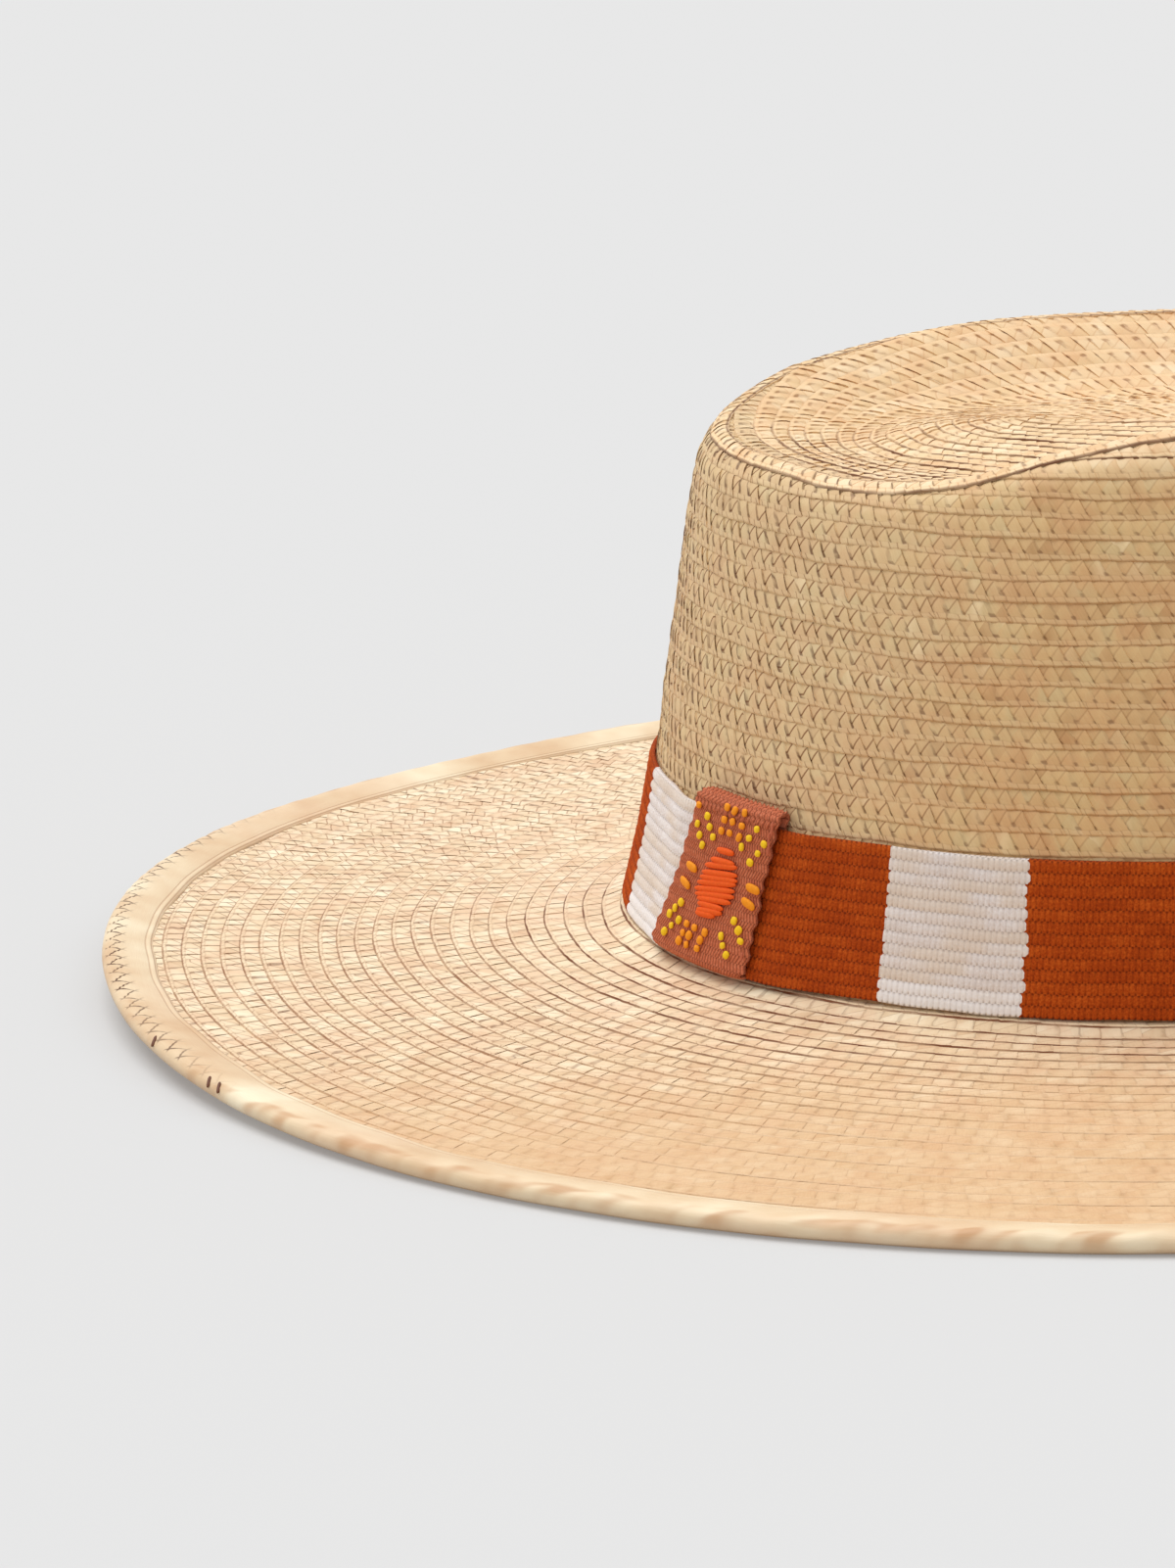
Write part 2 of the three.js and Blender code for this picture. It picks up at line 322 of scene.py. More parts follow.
brimBraid = {
    "lift": 0.3,
    "foldLift": 0.0,
    "rowPitch": 3.35,
    "leafWidth": 3.5,
    "slant": 0.25,
    "slitDrop": 0.11,
    "cuts": ((0.02, -1.0), (0.5, 0.3), (0.98, 1.0)),
    "waver": 0.08,
    "rowLift": 0.05,
    "section": (
        (-0.04, -0.2, 0.0), (0.0, 0.08, 0.3), (0.16, 0.12, 0.5), (0.21, 0.07, 0.5),
        (0.28, 0.1, 1.0), (1.06, -0.12, 0.8), (1.06, -0.7, 0.0), (0.12, -0.24, 0.0),
    ),
    "calm": (0.6, -95, 50),  # the relief flattens by this share, from this y, over this length
    "edgeRoom": 7.4,  # the last row ends under the rolled edge, this far inside the rim
    "fillet": 1.15,  # rise of the rows that turn up to the crown, and how far out they do
    "filletReach": 2.6,
}


def waver(angle, row, amount):
    turn = np.radians(angle)
    return amount * (
        0.5 * np.sin(3 * turn + 0.61 * row) + 0.4 * np.sin(7 * turn - 0.43 * row + 1.7)
        + 0.35 * np.sin(16 * turn + 0.9 * row + 4.1) + 0.2 * np.sin(29 * turn - 1.3 * row)
    )


def braidRow(work, braid, row, rowName, surface, seed):
    random = np.random.RandomState(seed)
    lengths = pathLengths(surface(np.linspace(0, 360, 361), np.full(361, row + 0.4))[0])
    cells = max(6, int(round(lengths[-1] / braid["leafWidth"])))
    cutPlaces, cutRises = np.array(braid["cuts"]).T
    perCell = len(cutPlaces)
    index = np.arange(cells * perCell + 1)
    cell, cut = index // perCell, index % perCell
    size = random.uniform(0.55, 1.35, cells)
    lipJitter = random.uniform(-1, 1, cells * perCell)
    nudge = random.uniform(-0.12, 0.12, cells)[cell % cells][:, None]
    along = cell + cutPlaces[cut]
    loop = np.array(braid["section"] + braid["section"][:1])
    q = loop[:, 0]
    leaves = along[:, None] + braid["slant"] * (1 - q)
    phase = random.uniform(0, 1)
    share = (leaves + nudge + phase) / cells
    angle = np.interp(np.mod(share, 1), lengths / lengths[-1], np.linspace(0, 360, 361))
    place = row + q + waver(angle, row + q, braid["waver"])
    jitter = lipJitter[index % len(lipJitter)][:, None]
    place = place + 0.02 * jitter * (q < 0.3)
    point, normal, fold = surface(angle, place)
    relief = loop[:, 2] * cutRises[cut][:, None] * size[cell % cells][:, None]
    lift = loop[:, 1] + relief * braid["slitDrop"] / 2 + 0.03 * jitter * (q < 0.3)
    calm, start, over = braid["calm"]
    reach = np.clip((start - point[..., 1]) / over, 0, 1)
    lift = lift * (1 - calm * reach * (3 - 2 * reach) * reach * (loop[:, 1] > -0.4))
    lift = lift + braid["lift"] + braid["foldLift"] * fold * np.exp(-((q - 0.08) / 0.16) ** 2)
    lift = lift + braid["rowLift"] * np.sin(np.radians(angle) * 5 + rowName * 2.1)
    points = point + normal * lift[..., None]
    points[-1] = points[0]
    ringMesh(work, points, leaves + 0 * place, rowName + q + 0 * leaves)


# Crown section for every three degrees and tenth of a row: level rows on the wall, even ones above
def rowTable():
    rows = np.arange(crownBraid["rows"] * 10 + 1) / 10
    level, pitch = crownBraid["levelRows"], crownBraid["rowPitch"]
    places = np.linspace(0, crownLast, 1600)
    table = []
    for angle in range(0, 361, 3):
        lengths = pathLengths(crownPoint(angle, places))
        above = (rows - level) / (crownBraid["rows"] - level) * (lengths[-1] - level * pitch)
        wanted = np.where(rows < level, rows * pitch, level * pitch + above)
        table.append(np.interp(wanted, lengths, places))
    return np.array(table)


crownTable = rowTable()


def crownSurface(angle, place):
    turned, row = np.mod(angle, 360) / 3, np.clip(place * 10, 0, crownTable.shape[1] - 1.001)
    i, j = turned.astype(int), row.astype(int)
    s, t = turned - i, row - j
    section = (crownTable[i, j] * (1 - s) + crownTable[i + 1, j] * s) * (1 - t)
    section = section + (crownTable[i, j + 1] * (1 - s) + crownTable[i + 1, j + 1] * s) * t
    point = crownPoint(angle, section)
    point[..., 2] += np.minimum(place, 0) * crownBraid["rowPitch"]
    fold = np.exp(-((section - crownBraid["foldAt"]) / crownBraid["foldReach"]) ** 2)
    return point, crownNormal(angle, section), fold


# One more row lies along the ridge, over the fold
def ridgeSurface(angle, place):
    section = np.clip(crownBraid["foldAt"] + crownBraid["foldWidth"] * (place - 0.8), 0, crownLast)
    return crownPoint(angle, section), crownNormal(angle, section), 0


brimWidth = shape["brimHalfLength"] - shape["crownHalfLength"] + shape["strawWall"]
brimReach = brimWidth - brimBraid["edgeRoom"]
brimRows = int(round(brimReach / brimBraid["rowPitch"]))
brimRowsFrom = 100  # the brim's rows are numbered from here in the UV map


def brimSurface(angle, place):
    out = (brimReach - place * brimReach / brimRows) / brimWidth
    point = brimPoint(angle, out)
    fromWall = np.maximum(out * brimWidth - shape["strawWall"], 0)
    point[..., 2] += brimBraid["fillet"] * np.exp(-(fromWall / brimBraid["filletReach"]) ** 2)
    return point, brimNormal(angle, out), 0


# Material helpers

# A value or colour in a material: a sum with one adds its own nodes
class Field:
    def __init__(self, socket):
        self.socket = socket
        self.tree = socket.id_data

    def __add__(self, other):
        return calc("ADD", self, other)

    def __sub__(self, other):
        return calc("SUBTRACT", self, other)

    def __rsub__(self, other):
        return calc("SUBTRACT", other, self)

    def __mul__(self, other):
        return calc("MULTIPLY", self, other)

    def __truediv__(self, other):
        return calc("DIVIDE", self, other)


def linear(red, green, blue):
    def one(value):
        value /= 255
        return value / 12.92 if value <= 0.04045 else ((value + 0.055) / 1.055) ** 2.4
    return (one(red), one(green), one(blue), 1)


def treeOf(*values):
    return next(value.tree for value in values if isinstance(value, Field))


def join(value, socket):
    if isinstance(value, Field):
        value.tree.links.new(value.socket, socket)
    else:
        socket.default_value = value


def joinAll(node, inputs):
    for key, value in inputs.items():
        join(value, node.inputs[key])


def addNode(tree, kind, inputs=None, **settings):
    node = tree.nodes.new(kind)
    for name, value in settings.items():
        setattr(node, name, value)
    joinAll(node, inputs or {})
    return node


def field(tree, kind, inputs=None, output=0, **settings):
    return Field(addNode(tree, kind, inputs, **settings).outputs[output])


def calc(operation, *values):
    return field(treeOf(*values), "ShaderNodeMath", dict(enumerate(values)), operation=operation)


def scaled(value, factor, plus):
    return calc("MULTIPLY_ADD", value, factor, plus)


# Distance of a share of a whole from its nearer end
def toEdge(share):
    return calc("MINIMUM", share, 1.0 - share)


def between(value, low, high, first, last, kind="SMOOTHSTEP"):
    return field(value.tree, "ShaderNodeMapRange", {
        "Value": value, "From Min": low, "From Max": high, "To Min": first, "To Max": last,
    }, interpolation_type=kind)


# 1 where the distance is under full, falling to 0 at gone
def near(distance, full, gone):
    return between(distance, full, gone, 1.0, 0.0)


# Colours are given as red, green and blue up to 255
def blend(share, first, second, kind="MIX"):
    node = addNode(treeOf(share, first, second), "ShaderNodeMix", data_type="RGBA", blend_type=kind)
    for key, value in {0: share, 6: first, 7: second}.items():
        join(linear(*value) if isinstance(value, tuple) else value, node.inputs[key])
    return Field(node.outputs[2])


def ramp(value, stops, interpolation="LINEAR"):
    node = addNode(value.tree, "ShaderNodeValToRGB", {"Fac": value})
    node.color_ramp.interpolation = interpolation
    elements = node.color_ramp.elements
    while len(elements) < len(stops):
        elements.new(0.5)
    for element, (place, colour) in zip(elements, stops):
        element.position = place
        element.color = linear(*colour)
    return Field(node.outputs["Color"])


def triple(x, y, z):
    return field(treeOf(x, y, z), "ShaderNodeCombineXYZ", {"X": x, "Y": y, "Z": z})


def axis(vector, name):
    return field(vector.tree, "ShaderNodeSeparateXYZ", {"Vector": vector}, name)


def noise(vector, scale, detail=2.0):
    inputs = {"Vector": vector, "Scale": scale, "Detail": detail}
    return field(vector.tree, "ShaderNodeTexNoise", inputs, "Fac")


def chanceAt(x, y, z):
    return field(treeOf(x, y, z), "ShaderNodeTexWhiteNoise", {"Vector": triple(x, y, z)}, "Value")


# A new material, the two parts of the UV map and the place on the object
def newMaterial(name):
    material = bpy.data.materials.new(name)
    material.use_nodes = True
    tree = material.node_tree
    uv = field(tree, "ShaderNodeUVMap", output="UV", uv_map="UVMap")
    return material, axis(uv, "X"), axis(uv, "Y"), field(tree, "ShaderNodeTexCoord", output="Object")


def finishMaterial(material, colour, height, look):
    bump, depth, rough, gloss = look["surface"]
    inputs = {"Height": height, "Strength": bump, "Distance": depth * metres}
    joinAll(material.node_tree.nodes["Principled BSDF"], {
        "Base Color": colour, "Normal": field(height.tree, "ShaderNodeBump", inputs),
        "Roughness": rough, "Specular IOR Level": gloss,
    })
    return material


# Shares of the lines come in pairs: the first holds up to turnFrom along the axis, the second past turnTo
crownStraw = {
    "leafColours": ((0.0, (184, 146, 100)), (0.3, (204, 168, 121)), (0.55, (210, 176, 127)),
                    (0.8, (203, 177, 131)), (1.0, (228, 201, 158))),
    "patch": (202, 150, 106),
    "patchShare": 0.35,
    "grainColours": ((150, 110, 70), (255, 240, 215)),
    "grainShare": 0.3,
    "shake": (0.22, 0.26, 0.35),  # unevenness across a row, along it, and along it in long waves
    "slitColour": (92, 50, 18),
    "holeColour": (104, 58, 24),
    "flankColour": (124, 74, 32),
    "lipColour": (220, 186, 142),
    "seamColour": (146, 94, 48),
    "lipTop": 0.27,
    "lipTicks": 1.6,
    "slitWidth": 0.13,
    "slitTop": 0.55,  # a slit ends between here and half a row further
    "turnAxis": "X",
    "turnFrom": -72,
    "turnTo": -22,
    "slit": (0.88, 0.15),
    "hole": (0.35, 0.6),
    "flank": (0.9, 0.24),
    "tick": (0.6, 0.3),
    "lip": (0.05, 0.1),
    "seam": (0.12, 0.5),
    "seamWidth": 0.26,
    "holeReach": 0.38,
    # painted light: on the crown this pales the back, where the key light falls
    "tanAndPaintedLight": (0.3, 0.0),
    "tanAndPaintedLightColour": (226, 210, 178),
    "topFrom": 25.0,  # the leaves pale from this row to topTo
    "topTo": 27.8,
    "shaded": (0.1, 0.7, 0.65),  # the first row is dimmed in the fold: full at, gone at, share
    "shadeColour": (112, 70, 36),
    "inner": None,
    "relief": {"slit": 0.9, "hole": 0.9, "flank": 0.4, "tick": 0.4, "lip": 0.4, "seam": 0.5},
    "surface": (0.6, 0.25, 0.56, 0.35),  # bump, its depth, roughness and gloss
}

topStraw = dict(
    crownStraw,
    leafColours=((0.0, (215, 179, 136)), (0.3, (229, 200, 158)),
                 (0.6, (235, 208, 170)), (1.0, (244, 223, 190))),
    patch=(226, 180, 138),
    flankColour=(196, 146, 96),
    lipColour=(240, 208, 166),
    slitColour=(130, 82, 40),
    holeColour=(150, 98, 54),
    seamColour=(112, 66, 30),
    seamWidth=0.46,
    holeReach=0.5,
    turnAxis="Y",
    turnFrom=-16,
    turnTo=12,
    slit=(0.2, 0.4),
    hole=(0.2, 0.75),
    flank=(0.3, 0.3),
    tick=(0.3, 0.15),
    lip=(0.3, 0.05),
    seam=(1.0, 0.12),
    tanAndPaintedLight=(0.0, 0.2),
    tanAndPaintedLightColour=(206, 162, 116),
    topFrom=None,
    shaded=None,
)

ridgeStraw = dict(
    topStraw,
    slitColour=(96, 56, 24),
    turnAxis="X",
    turnFrom=-60,
    turnTo=-10,
    slit=(0.9, 0.35),
    hole=(0.3, 0.3),
    flank=(0.7, 0.6),
    tick=(0.5, 0.6),
    seam=(0.9, 1.0),
)

brimStraw = dict(
    crownStraw,
    leafColours=((0.0, (214, 185, 152)), (0.3, (226, 203, 171)),
                 (0.6, (233, 212, 182)), (1.0, (242, 227, 200))),
    patch=(218, 178, 148),
    slitColour=(104, 56, 22),
    holeColour=(168, 116, 72),
    flankColour=(142, 90, 48),
    lipColour=(230, 206, 173),
    seamColour=(140, 86, 46),
    lipTop=0.2,
    slitWidth=0.16,
    slitTop=0.85,
    turnAxis="Y",
    turnFrom=-60,
    turnTo=-135,
    slit=(0.72, 0.1),
    hole=(0.25, 0.2),
    flank=(0.6, 0.12),
    tick=(0.6, 0.1),
    lip=(0.2, 0.06),
    seam=(0.72, 0.12),
    seamWidth=0.24,
    holeReach=0.9,
    tanAndPaintedLight=(0.0, 0.62),
    tanAndPaintedLightColour=(203, 162, 118),
    topFrom=None,
    shaded=None,
    inner=(5.0, 13.0),  # rows from the crown whose seams are darkest, and where that ends
    innerNear=(-108, -90, 0.3),  # they fade towards the near side between these, down to this share
    firmColour=(116, 62, 24),
    # painted shade: the band's shadow on the brim's first row
    footShadeColour=(140, 96, 60),
)


def strawMaterial(name, look, braid):
    material, across, along, place = newMaterial(name)
    pitch, leaf, lipTop = braid["rowPitch"], braid["leafWidth"], look["lipTop"]
    turned = axis(place, look["turnAxis"]) + (noise(place, 70) - 0.5) * 0.03

    def share(part):
        first, second = look[part]
        return between(turned, look["turnFrom"] * metres, look["turnTo"] * metres, first, second)

    shake = noise(place, 420, 1.0) - 0.5
    slow = noise(place, 130, 1.0) - 0.5
    row = calc("FLOOR", along)
    q = along - row  # place across the row, from its lip
    shakeUp, shakeAlong, slowAlong = look["shake"]
    qShaken = q + shake * shakeUp
    w = across - (1.0 - q) * braid["slant"]  # place along the row, in leaves
    w = w + shake * shakeAlong + slow * slowAlong
    cell = calc("FLOOR", w)
    inCell = w - cell
    chance = chanceAt(cell, row, 0.5)
    other = chanceAt(cell, row, 7.5)
    body = near(1.0 - qShaken, 0.97 - lipTop, 1.03 - lipTop)

    # The flank is the slanted edge of the upper leaf over the lower one
    start = lipTop + 0.16 * (1 - lipTop)
    flank = scaled(inCell, 0.98 - start, start) + (chance - 0.5) * 0.3
    over = calc("GREATER_THAN", qShaken, flank)
    flankAway = calc("ABSOLUTE", qShaken - flank) * (pitch * 0.7)
    flankLine = near(flankAway, 0.03, 0.15) * body * near(other, 0.6, 0.85)

    # The slit is the steep edge between one leaf and the next; its dark line is partly the leaf's edge and
    # partly painted shade in the crevice
    slitAway = toEdge(inCell) * (leaf * 0.8)
    slitLine = near(slitAway, look["slitWidth"] * 0.3, look["slitWidth"] * 1.5) * body
    fade = near(qShaken - scaled(other, 0.5, look["slitTop"]), -0.15, 0.05)
    slitLine = slitLine * scaled(fade, 0.85, 0.15) * scaled(chance, 0.65, 0.35)
    holeUp = (qShaken - (lipTop + 0.07)) * (pitch * 0.8)
    holeAway = calc("SQRT", holeUp * holeUp + slitAway * slitAway)
    hole = near(holeAway, 0.1, look["holeReach"]) * scaled(other, 0.7, 0.3)

    # The lip is the braid's own edge, in short slanted bits
    lip = 1.0 - body
    tick = across * look["lipTicks"] + q * 1.2 + shake * 0.7
    tickAway = toEdge(tick - calc("FLOOR", tick)) * (leaf / look["lipTicks"])
    tickLine = near(tickAway, 0.03, 0.18) * lip
    lipLine = near(calc("ABSOLUTE", qShaken - lipTop) * pitch, 0.04, 0.2)
    # The seam is where the rows overlap; its dark line is partly the join's own brown and partly painted
    # shade under the lip
    seamAway = toEdge(q) * pitch
    seam = near(seamAway, 0.04, look["seamWidth"]) * scaled(slow, 1.6, 0.85)

    # Colour
    patch = noise(triple(across * 0.3, row * 3.7, 0.0), 1.0)
    tone = scaled(chanceAt(cell, row, over), 0.55, scaled(patch, 1.6, -0.58))
    colour = ramp(tone, look["leafColours"])
    if look["topFrom"]:
        topShare = near(look["topTo"] - along, 0.0, look["topTo"] - look["topFrom"])
        colour = blend(topShare, colour, ramp(tone, topStraw["leafColours"]))
    colour = blend(lip, colour, blend(0.5, look["lipColour"], colour))
    blush = near(noise(place, 150), 0.38, 0.56)
    colour = blend(blush * look["patchShare"], colour, look["patch"])
    # A tint over one side: painted light paling the crown's back, where the key light falls; a tan tone on
    # the brim's near side and on the top's far side
    colour = blend(share("tanAndPaintedLight"), colour, look["tanAndPaintedLightColour"])
    grain = noise(triple(w * 10.0 + over * 50.0, q, row), 1.0, 3.0)
    colour = blend(look["grainShare"], colour, blend(grain, *look["grainColours"]), "SOFT_LIGHT")
    lines = {
        "lip": lipLine, "flank": flankLine, "tick": tickLine,
        "seam": seam, "slit": slitLine, "hole": hole,
    }
    lines = {part: line * share(part) for part, line in lines.items()}
    if look["topFrom"]:
        lines = {part: line * scaled(topShare, -0.6, 1.0) for part, line in lines.items()}
    if look["inner"]:
        full, gone = look["inner"]
        fromCrown = brimRowsFrom + brimRows + 1.0 - along
        inner = near(fromCrown, full, gone)
        lines = {part: line * scaled(inner, -0.45, 1.0) for part, line in lines.items()}
        firmSeam = near(seamAway, 0.04, scaled(shake, 0.3, look["seamWidth"] * 0.85))
        firmSeam = firmSeam * inner * scaled(slow, 2.4, 0.8)
        nearest, ending, least = look["innerNear"]
        firmSeam = firmSeam * between(turned, nearest * metres, ending * metres, least, 1.0, "LINEAR")
    # Each line in its own colour; the seams and slits are partly painted shade in the braid's crevices
    tints = {"seam": "seamColour", "slit": "slitColour", "hole": "holeColour"}
    for part, line in lines.items():
        colour = blend(line, colour, look[tints.get(part, "flankColour")])
    if look["inner"]:
        lines["seam"] = calc("MAXIMUM", lines["seam"], firmSeam)
        colour = blend(firmSeam, colour, look["firmColour"])
        # Painted shade: the brim's first row by the crown is darkened for the band's shadow
        colour = blend(near(fromCrown, 0.5, 1.6) * 0.5, colour, look["footShadeColour"])
    if look["shaded"]:
        full, gone, strength = look["shaded"]
        colour = blend(near(along, full, gone) * strength, colour, look["shadeColour"])

    # Relief
    height = grain * 0.16
    for part, depth in look["relief"].items():
        height = height - lines[part] * depth
    return finishMaterial(material, colour, height, look)


addCamera()
addLight()
print("camera and light are set")

crownMaterial = strawMaterial("palm_leaf_crown", crownStraw, crownBraid)
topMaterial = strawMaterial("palm_leaf_top", topStraw, crownBraid)
ridgeMaterial = strawMaterial("palm_leaf_ridge", ridgeStraw, crownBraid)
brimMaterial = strawMaterial("palm_leaf_brim", brimStraw, brimBraid)

zones = (
    ("crown_braid_lower", crownBraid, crownSurface, range(0, 13), crownMaterial, "crown"),
    ("crown_braid_upper", crownBraid, crownSurface, range(13, 27), crownMaterial, "crown"),
    ("crown_braid_top", crownBraid, crownSurface, range(27, crownBraid["rows"]), topMaterial, "crown"),
    ("crown_ridge_row", dict(crownBraid, lift=0.34), ridgeSurface, range(0, 1), ridgeMaterial, "crown"),
    ("brim_braid_outer", brimBraid, brimSurface, range(0, brimRows // 2), brimMaterial, "brim"),
    ("brim_braid_inner", brimBraid, brimSurface, range(brimRows // 2, brimRows + 1), brimMaterial, "brim"),
)
for zoneIndex, (name, braid, surface, rows, material, node) in enumerate(zones):
    work = newWork()
    for row in rows:
        braidRow(work, braid, row, row + brimRowsFrom * (node == "brim"), surface, 1000 * zoneIndex + row)
    finishPiece(name, work, material, [node], sharp=50)

# Rolled edge: one leaf laid over the rim, creased like plaiting where it turns round it

leafRoll = {
    "columns": 1900,
    "crease": 4.9,
    "creaseSlope": 0.2,  # creases along the rim for each millimetre inwards
    "creaseShift": 0.35,
    "creaseReach": 4.6,
    "creaseDepth": 0.34,
    "wave": 0.16,
    "dent": 0.16,
    "tip": (190, 20),  # the creased end: degrees round the rim, and how far it reaches
    "tipPlace": ((-178, -158), (30, 80)),  # x and y where its dark creases are full and gone
    # the nicks are dark capsules that stand in for the shade inside small cuts in the roll: painted shade
    "nicks": (205.3, 212.7, 213.8),  # degrees round the rim
    "nickEnds": ((-0.3, 0.45), (0.95, 1.8)),  # distance inwards and lift of both ends
    "nickSize": (0.32, 0.2),
    "nickMark": 30,  # stands for the nicks in the UV map
    "seams": (7.7, 8.75),  # lines along the roll, this far from the rim
    # around the roll from the rim: distance inwards, lift over the brim's middle
    "section": (
        (0.0, 0.0), (0.1, 0.6), (0.4, 1.15), (0.95, 1.6), (1.7, 1.86), (2.6, 1.95), (3.6, 1.86), (4.7, 1.62),
        (6.0, 1.3), (7.3, 1.02), (7.7, 0.84), (8.1, 0.9), (8.7, 0.74), (9.2, 0.3), (9.0, -0.8), (8.4, -1.45),
        (6.5, -1.6), (4.0, -1.65), (2.2, -1.6), (1.0, -1.4), (0.3, -0.9),
    ),
    "leaf": ((0.0, (208, 176, 140)), (0.35, (219, 194, 161)),
             (0.65, (226, 206, 175)), (1.0, (236, 222, 194))),
    "pink": (214, 174, 142),
    "grainColours": ((170, 130, 90), (255, 240, 220)),
    "dentColour": (188, 136, 88),
    # painted shade along the roll's underside, where it meets the floor
    "underShadeColour": (146, 102, 62),
    "creaseColour": (88, 48, 20),
    "nickShadeColour": (98, 50, 20),
    "seamColour": (176, 128, 88),
    "surface": (0.5, 0.3, 0.5, 0.35),
}


def rollPoint(angle, inwards, lift):
    out = 1 - inwards / brimWidth
    return brimPoint(angle, out) + brimNormal(angle, out) * lift[..., None]


def toGap(value):
    return np.abs(value - np.rint(value)) * 2


def addCapsule(work, start, end, normal, wide, high, uv):
    along = (end - start) / 2
    verts = bmesh.ops.create_uvsphere(work, u_segments=10, v_segments=8, radius=1)["verts"]
    side = along.cross(normal).normalized() * wide
    turned = Matrix((side, normal * high, along)).transposed().to_4x4()
    place = Matrix.Translation((start + end) / 2) @ turned
    for vert in verts:
        vert.co.z = math.copysign(abs(vert.co.z) ** 0.55, vert.co.z)
        vert.co = place @ vert.co * metres
    layer = work.loops.layers.uv["UVMap"]
    for face in {face for vert in verts for face in vert.link_faces}:
        for corner in face.loops:
            corner[layer].uv = uv


def addRoll():
    work = newWork()
    look = leafRoll
    rim = pathLengths(brimPoint(np.linspace(0, 360, 1441), np.ones(1441)))
    creases = int(round(rim[-1] / look["crease"]))
    index = np.arange(look["columns"] + 1)
    angle = np.interp(index / look["columns"] * rim[-1], rim, np.linspace(0, 360, 1441))[:, None]
    loop = np.array(look["section"] + look["section"][:1])
    inwards, lift = loop[:, 0] + 0 * angle, loop[:, 1] + 0 * angle
    along = index[:, None] / look["columns"] * creases
    turn = np.radians(angle)
    slope = look["creaseSlope"] * inwards
    crossing = np.minimum(toGap(along + slope), toGap(along - slope + look["creaseShift"]))
    fade = np.clip(1 - inwards / look["creaseReach"], 0, 1) * np.clip((inwards - 0.1) / 0.7, 0, 1)
    crease = look["creaseDepth"] * np.clip(1 - crossing / 0.45, 0, 1) * fade * (lift > 0)
    middle, reach = look["tip"]
    tip = np.exp(-((np.mod(angle, 360) - middle) / reach) ** 2)
    crease = crease * (0.02 + 1.2 * tip)
    dent = look["dent"] * np.sin(2 * np.pi * (along * 0.5 - inwards * 0.16) + 1.3 * np.sin(11 * turn))
    dent = dent * np.exp(-((inwards - 2.2) / 2.2) ** 2) * (lift > 0)
    dent = dent * (1 - 0.6 * tip) * (0.6 - 0.4 * np.sin(turn))
    wave = look["wave"] * (np.sin(9 * turn + 0.6) + 0.7 * np.sin(23 * turn) + 0.5 * np.sin(51 * turn + 2))
    inside = inwards + (wave * 1.4 + 0.25) * (inwards > 4)
    point = rollPoint(angle, inside + crease * 0.8, lift * (1 - crease) + wave * 0.35 + dent)
    point[-1] = point[0]
    below = (loop[:, 1] < -0.3) | (np.arange(len(loop)) == len(loop) - 1)
    vs = np.where(below, -inwards - 0.01, inwards)
    ringMesh(work, point, along + 0 * vs, vs)
    inwards, lift = np.array(look["nickEnds"]).T
    for nick in look["nicks"]:
        start, end = (Vector(point) for point in rollPoint(nick - 0.4 * inwards, inwards, lift))
        addCapsule(work, start, end, Vector((0, 0, 1)), *look["nickSize"], (0, look["nickMark"]))
    finishPiece("brim_leaf_roll", work, rollMaterial(), ["brim_edge"], sharp=60)


def rollMaterial():
    look = leafRoll
    material, along, inwards, place = newMaterial("rolled_leaf")
    shake = noise(place, 260, 1.0) - 0.5
    colour = ramp(scaled(noise(place, 55, 3.0), 2.4, -0.7), look["leaf"])
    pink = near(noise(place, 34), 0.36, 0.52)
    colour = blend(pink * 0.3, colour, look["pink"])
    fine = noise(triple(along * 1.3, inwards * 5.0, 0.0), 1.0)
    colour = blend(0.25, colour, blend(fine, *look["grainColours"]), "SOFT_LIGHT")
    lines = []
    for slope, shift in ((look["creaseSlope"], 0.0), (-look["creaseSlope"], look["creaseShift"])):
        line = calc("FRACT", scaled(inwards, slope, along + shift) + shake * 0.14)
        lines.append(near(toEdge(line), 0.025, 0.08))
    rimShare = near(inwards, 2.4, look["creaseReach"]) - near(inwards, 0.15, 0.8)
    tipX, tipY = (near(axis(place, name) / metres, *ends) for name, ends in zip("XY", look["tipPlace"]))
    tip = tipX * tipY
    strength = scaled(near(noise(place, 90, 1.0), 0.42, 0.6), 0.35, 0.65) * tip
    crease = calc("MAXIMUM", *lines) * rimShare * strength
    dentPlace = triple(scaled(inwards, -0.2, along * 0.62), inwards * 0.22, 0.0)
    dent = near(noise(dentPlace, 1.2, 1.0), 0.34, 0.56)
    dent = dent * near(calc("ABSOLUTE", inwards - 0.9), 0.5, 1.8) * scaled(tip, -0.4, 0.66)
    seams = [near(calc("ABSOLUTE", inwards - where), 0.04, 0.2) for where in look["seams"]]
    seam = calc("MAXIMUM", *seams) * 0.5
    colour = blend(dent, colour, look["dentColour"])
    # Painted shade: the roll's underside is darkened where it sits on the floor
    colour = blend(near(inwards, -0.6, 0.02) * 0.5, colour, look["underShadeColour"])
    colour = blend(crease, colour, look["creaseColour"])
    colour = blend(seam, colour, look["seamColour"])
    # Painted shade: the nick capsules are coloured dark for the shade inside the cuts
    colour = blend(calc("GREATER_THAN", inwards, look["nickMark"] - 10), colour, look["nickShadeColour"])
    return finishMaterial(material, colour, fine * 0.2 - calc("MAXIMUM", crease, seam), look)


addRoll()

# Woven band: thirteen ribs of upright stitches in rust orange and white stripes

